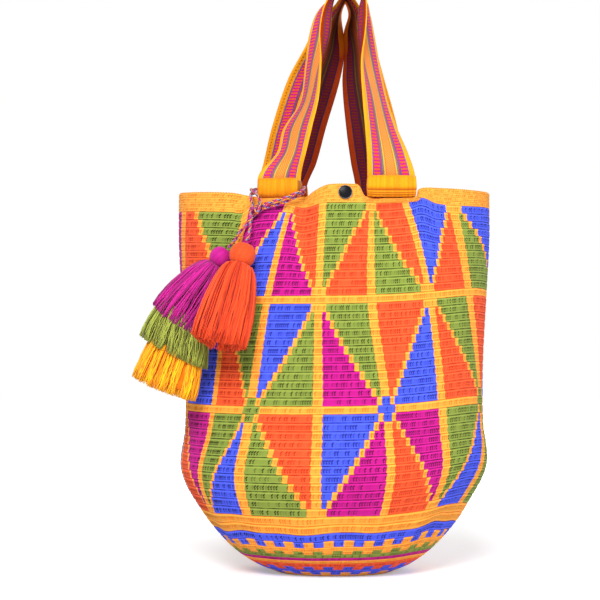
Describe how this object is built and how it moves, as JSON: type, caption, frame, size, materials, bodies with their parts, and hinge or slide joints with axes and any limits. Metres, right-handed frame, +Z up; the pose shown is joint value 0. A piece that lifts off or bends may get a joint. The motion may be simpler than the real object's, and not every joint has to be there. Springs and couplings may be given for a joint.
{
  "type": "tote bag",
  "caption": "Soft crocheted bucket tote with a rounded base, woven strap handles bound to the rim by wound thread, and tassels on a braided cord.",
  "frame": {"origin": "on the surface that the bag stands on, under the middle of its base", "axes": "+Z up to the top of the handles, -Y towards the front, where the badge and the tassels are, +X to the right as the front is seen"},
  "size_m": [0.3499, 0.2407, 0.5772],
  "materials": {
    "crochet": "cotton thread in tapestry crochet: amber yellow, magenta, olive green, royal blue and orange",
    "woven_band": "woven cotton band with lengthwise stripes and ladders",
    "golden_thread": "tightly wound thread with a soft sheen",
    "badge_black": "glossy black enamel with a thin metal edge, bare",
    "backing_steel": "plain",
    "braided_cord": "braid of several colours",
    "orange_thread": "loose thread",
    "magenta_thread": "loose thread",
    "olive_thread": "loose thread",
    "yellow_thread": "loose thread"
  },
  "bodies": {
    "root": {"bag_body": "crochet", "front_handle": "woven_band", "rear_handle": "woven_band", "wrap_front_left": "golden_thread", "wrap_front_right": "golden_thread", "wrap_rear_left": "golden_thread", "wrap_rear_right": "golden_thread", "badge_disc": "badge_black", "badge_backing": "backing_steel", "tassel_cord": "braided_cord", "orange_ball": "orange_thread", "orange_skirt": "orange_thread", "magenta_ball": "magenta_thread", "magenta_skirt": "magenta_thread", "olive_skirt": "olive_thread", "yellow_skirt": "yellow_thread"}
  },
  "joints": []
}
